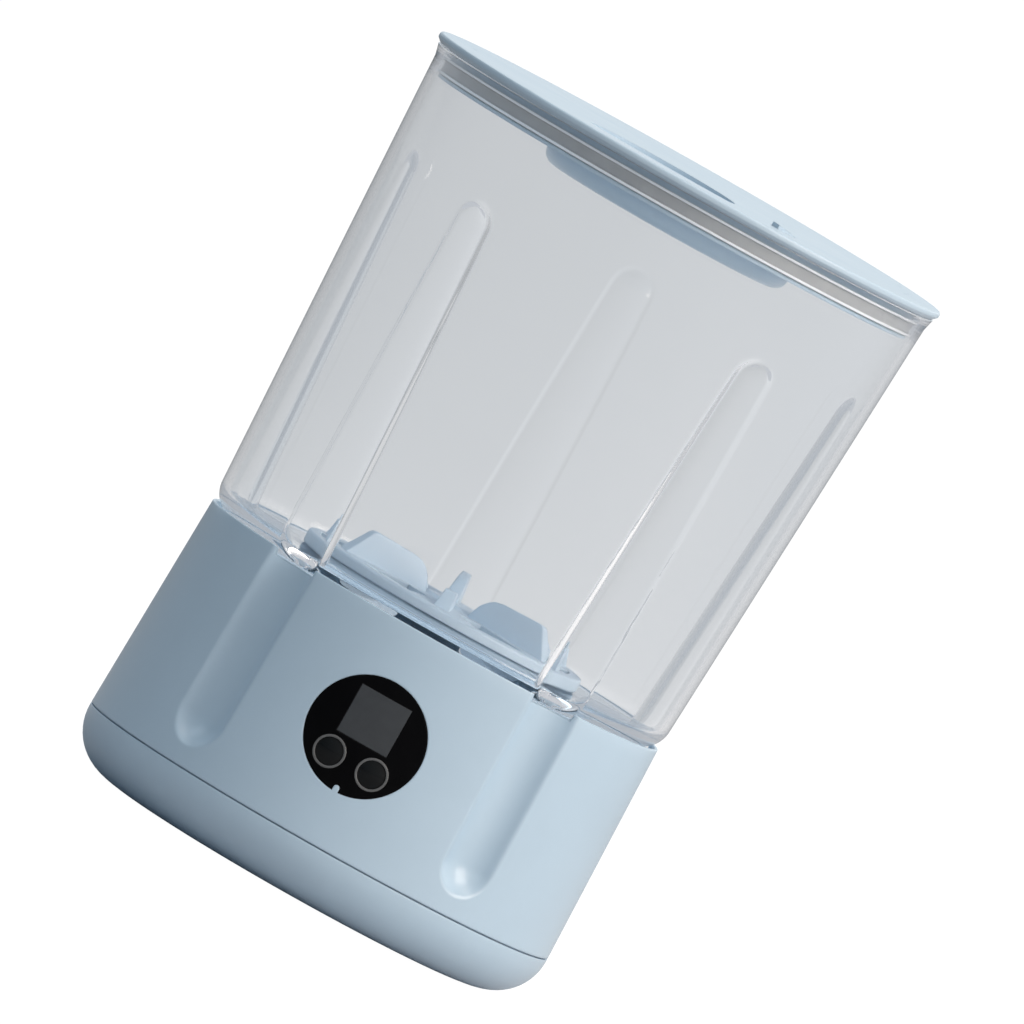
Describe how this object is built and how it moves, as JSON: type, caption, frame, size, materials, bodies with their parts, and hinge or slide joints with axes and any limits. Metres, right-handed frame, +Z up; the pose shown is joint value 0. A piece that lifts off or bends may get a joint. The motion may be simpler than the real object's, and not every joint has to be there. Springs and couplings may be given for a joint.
{
  "type": "automatic pet feeder",
  "caption": "Automatic pet feeder: a clear fluted hopper with a sealed lid and a vaned feed rotor on a round base with a window, two keys, a drive and a drop chute.",
  "frame": {"origin": "centre of the footprint, level with the underside of the rubber feet", "axes": "+Z up through the rotor's axis, -Y out of the front with the window, +X to the right seen from the front"},
  "size_m": [0.172, 0.172, 0.2463],
  "materials": {
    "base_plastic": "satin pale blue moulding",
    "lid_plastic": "satin pale blue moulding",
    "rotor_plastic": "satin pale blue moulding",
    "clear_plastic": "clear glossy, slightly smoky",
    "grey_silicone": "smooth grey",
    "black_rubber": "matte",
    "window_black": "high gloss black",
    "screen_grey": "smoked, high gloss",
    "key_black": "high gloss black",
    "ring_grey": "satin grey",
    "screw_steel": "zinc plated",
    "motor_steel": "plated",
    "pinion_brass": "machined",
    "nylon_white": "natural nylon",
    "case_plastic": "pale grey moulding",
    "board_green": "solder resist",
    "chip_black": "moulded epoxy",
    "lcd_glass": "glass faced",
    "cell_wrap": "shrink wrap",
    "nickel": "nickel plated",
    "desiccant_white": "porous white"
  },
  "bodies": {
    "base": {"base_shell": "base_plastic", "bottom_cover": "base_plastic", "shaft_seal": "grey_silicone", "rubber_feet": "black_rubber", "display_window": "window_black", "screen_lens": "screen_grey", "key_rings": "ring_grey", "cover_screws": "screw_steel", "gear_case_screws": "screw_steel", "motor_screws": "screw_steel", "control_board_screws": "screw_steel", "main_board_screws": "screw_steel", "motor_can": "motor_steel", "motor_gearhead": "motor_steel", "deck_bush": "nylon_white", "gear_case": "case_plastic", "battery_cradle": "case_plastic", "drop_chute": "case_plastic", "control_board": "board_green", "main_board": "board_green", "usb_board": "board_green", "board_chips": "chip_black", "tact_switches": "chip_black", "index_sensor": "chip_black", "lcd_panel": "lcd_glass", "battery_cell": "cell_wrap", "battery_contacts": "nickel", "usb_inlet": "nickel"},
    "drive": {"drive_shaft": "motor_steel", "output_gear": "nylon_white", "index_wheel": "nylon_white"},
    "pinion": {"motor_pinion": "pinion_brass", "motor_shaft": "motor_steel"},
    "hopper": {"hopper": "clear_plastic"},
    "rotor": {"feed_rotor": "rotor_plastic"},
    "lid": {"lid": "lid_plastic", "lid_gasket": "grey_silicone", "lid_liner": "lid_plastic"},
    "desiccant": {"desiccant_cup": "lid_plastic", "desiccant_cartridge": "desiccant_white"},
    "key_left": {"key_left": "key_black"},
    "key_right": {"key_right": "key_black"}
  },
  "joints": [
    {"name": "hopper_lift", "type": "slide", "parent": "base", "child": "hopper", "axis": [0, 0, 1], "range_m": [0, 0.12]},
    {"name": "lid_lift", "type": "slide", "parent": "hopper", "child": "lid", "axis": [0, 0, 1], "range_m": [0, 0.06]},
    {"name": "desiccant_turn", "type": "hinge", "parent": "lid", "child": "desiccant", "pos_m": [0, 0, 0.23], "axis": [0, 0, 1], "range_deg": [0, 30]},
    {"name": "rotor_spin", "type": "hinge", "parent": "hopper", "child": "rotor", "pos_m": [0, 0, 0.09], "axis": [0, 0, 1], "continuous": true},
    {"name": "drive_spin", "type": "hinge", "parent": "base", "child": "drive", "pos_m": [0, 0, 0.08], "axis": [0, 0, 1], "continuous": true},
    {"name": "pinion_spin", "type": "hinge", "parent": "base", "child": "pinion", "pos_m": [0, -0.01575, 0.072], "axis": [0, 0, 1], "continuous": true},
    {"name": "key_left_press", "type": "slide", "parent": "base", "child": "key_left", "axis": [0.0925, 0.9957, 0], "range_m": [0, 0.0006], "stiffness_N_per_m": 600},
    {"name": "key_right_press", "type": "slide", "parent": "base", "child": "key_right", "axis": [-0.0925, 0.9957, 0], "range_m": [0, 0.0006], "stiffness_N_per_m": 600}
  ],
  "couplings": [
    {"joint": "drive_spin", "follows": "rotor_spin", "ratio": 1},
    {"joint": "pinion_spin", "follows": "rotor_spin", "ratio": -2.5}
  ]
}
